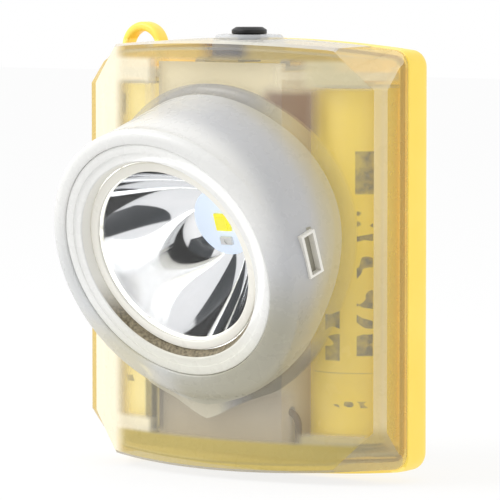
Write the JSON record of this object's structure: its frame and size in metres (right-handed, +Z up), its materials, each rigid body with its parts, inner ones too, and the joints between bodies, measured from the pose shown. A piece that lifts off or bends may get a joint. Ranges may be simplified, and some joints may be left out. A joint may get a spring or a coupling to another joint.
{
  "type": "miner's cap lamp",
  "caption": "Cordless cap lamp: frosted front shell with a tilted hooded reflector, upright cells inside, yellow rear cover with lanyard lug, top push button and helmet clip.",
  "frame": {"origin": "middle of the helmet clip blade's back face", "axes": "+X to the right seen from the front, +Y to the rear out of the blade, +Z up; the lamp shines towards -Y and 20.5 degrees down"},
  "size_m": [0.073, 0.0544, 0.0869],
  "materials": {
    "frosted_shell": "frosted translucent polycarbonate",
    "yellow_cover": "satin moulded plastic",
    "seal_rubber": "matt",
    "screw_steel": "bright",
    "clip_steel": "brushed along its length",
    "frosted_rim": "frosted translucent polycarbonate with a grained bore",
    "clear_lens": "polished",
    "cream_lip": "satin",
    "mirror_coat": "vacuum metallised",
    "board_white": "white solder mask",
    "led_phosphor": "phosphor over a white base",
    "led_white": "satin",
    "sink_aluminium": "turned",
    "cream_frame": "satin",
    "cell_wrap": "shrink wrap",
    "paper_ring": "paper",
    "spring_steel": "plated",
    "contact_brass": "plated",
    "board_green": "solder mask",
    "chip_black": "moulded",
    "button_rubber": "satin",
    "clear_guard": "clear moulded",
    "wire_red": "satin",
    "wire_black": "satin"
  },
  "bodies": {
    "housing": {"front_shell": "frosted_shell", "rear_cover": "yellow_cover", "cover_gasket": "seal_rubber", "cover_screws": "screw_steel", "helmet_clip": "clip_steel", "clip_rivets": "screw_steel", "bezel_ring": "frosted_rim", "lens_window": "clear_lens", "lens_lip": "cream_lip", "reflector": "mirror_coat", "light_board": "board_white", "main_led": "led_phosphor", "pilot_led": "led_white", "heat_sink": "sink_aluminium", "inner_frame": "cream_frame", "left_cell": "cell_wrap", "right_cell": "cell_wrap", "cell_insulators": "paper_ring", "cell_springs": "spring_steel", "cell_contacts": "contact_brass", "cell_links": "spring_steel", "control_board": "board_green", "board_parts": "chip_black", "switch_board": "board_green", "switch_body": "chip_black", "stem_seal": "seal_rubber", "button_guard": "clear_guard", "charge_studs": "contact_brass", "light_wires": "wire_red", "battery_wires": "wire_black"},
    "button": {"button_cap": "button_rubber", "button_stem": "button_rubber"},
    "plunger": {"switch_plunger": "led_white"}
  },
  "joints": [
    {"name": "button_press", "type": "slide", "parent": "housing", "child": "button", "axis": [0, 0, -1], "range_m": [0, 0.001], "stiffness_N_per_m": 3000},
    {"name": "plunger_press", "type": "slide", "parent": "housing", "child": "plunger", "axis": [0, 0, -1], "range_m": [0, 0.0003]}
  ],
  "couplings": [
    {"joint": "plunger_press", "follows": "button_press", "ratio": 0.3}
  ]
}
